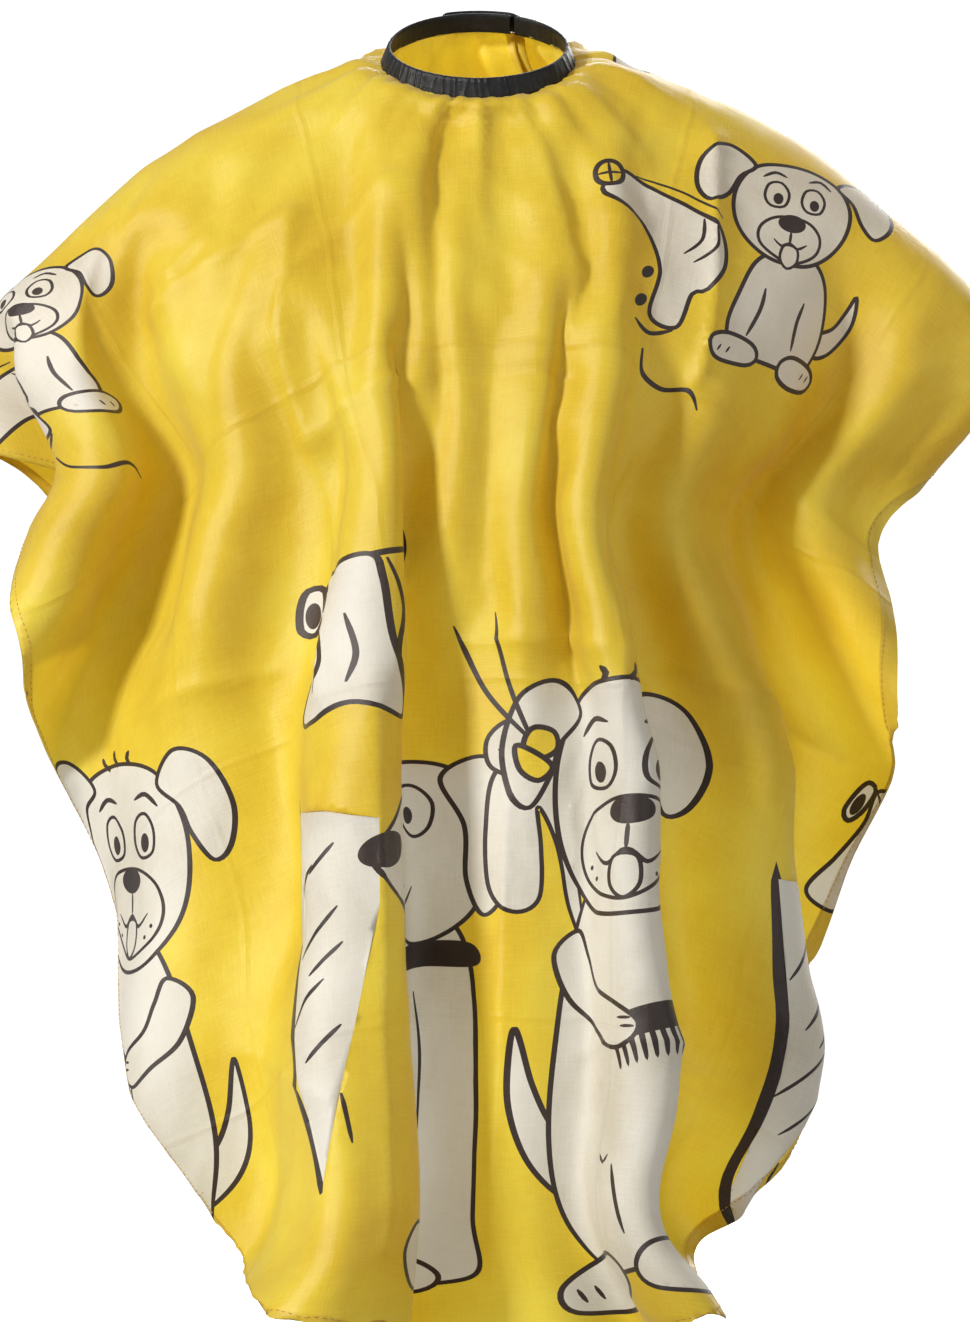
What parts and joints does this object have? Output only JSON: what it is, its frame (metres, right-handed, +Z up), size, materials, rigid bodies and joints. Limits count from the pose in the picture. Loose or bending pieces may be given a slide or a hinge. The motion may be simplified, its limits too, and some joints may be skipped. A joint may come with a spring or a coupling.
{
  "type": "barber cape",
  "caption": "Children's hairdressing cape in thin yellow cloth, gathered into a black neck binding and draped as worn, with a snap strap at the back of the neck.",
  "frame": {"origin": "centre of the neck opening, half way up the binding", "axes": "+Z up as worn, -Y to the wearer's front, +X to the wearer's left"},
  "size_m": [0.7004, 0.4654, 0.8537],
  "materials": {
    "cape_cloth": "thin satin-faced nylon cloth",
    "binding_tape": "woven black tape",
    "elastic": "flat braided elastic",
    "snap_plastic": "moulded snap, satin",
    "thread": "black sewing thread",
    "label_tape": "plain woven satin tape",
    "label_thread": "off-white sewing thread"
  },
  "bodies": {
    "cape": {"cape_panel": "cape_cloth", "neck_binding": "binding_tape", "neck_elastic": "elastic", "stud_strip": "binding_tape", "snap_stud_1": "snap_plastic", "snap_stud_2": "snap_plastic", "snap_stud_3": "snap_plastic", "snap_post_1": "snap_plastic", "snap_post_2": "snap_plastic", "snap_post_3": "snap_plastic", "overlap_root": "binding_tape", "band_stitches": "thread"},
    "strap": {"overlap_tab": "binding_tape", "snap_socket_1": "snap_plastic", "snap_socket_2": "snap_plastic", "snap_cap_1": "snap_plastic", "snap_cap_2": "snap_plastic", "tab_stitches": "thread"},
    "label": {"care_label": "label_tape", "label_stitches": "label_thread"}
  },
  "joints": [
    {"name": "tab_peel", "type": "hinge", "parent": "cape", "child": "strap", "pos_m": [0.02706, 0.04711, 0.02197], "axis": [0, 0.4226, -0.9063], "range_deg": [0, 110]},
    {"name": "label_swing", "type": "hinge", "parent": "cape", "child": "label", "pos_m": [-0.0277, -0.04227, -0.03262], "axis": [0.8829, -0.4255, -0.1984], "range_deg": [0, 70]}
  ]
}
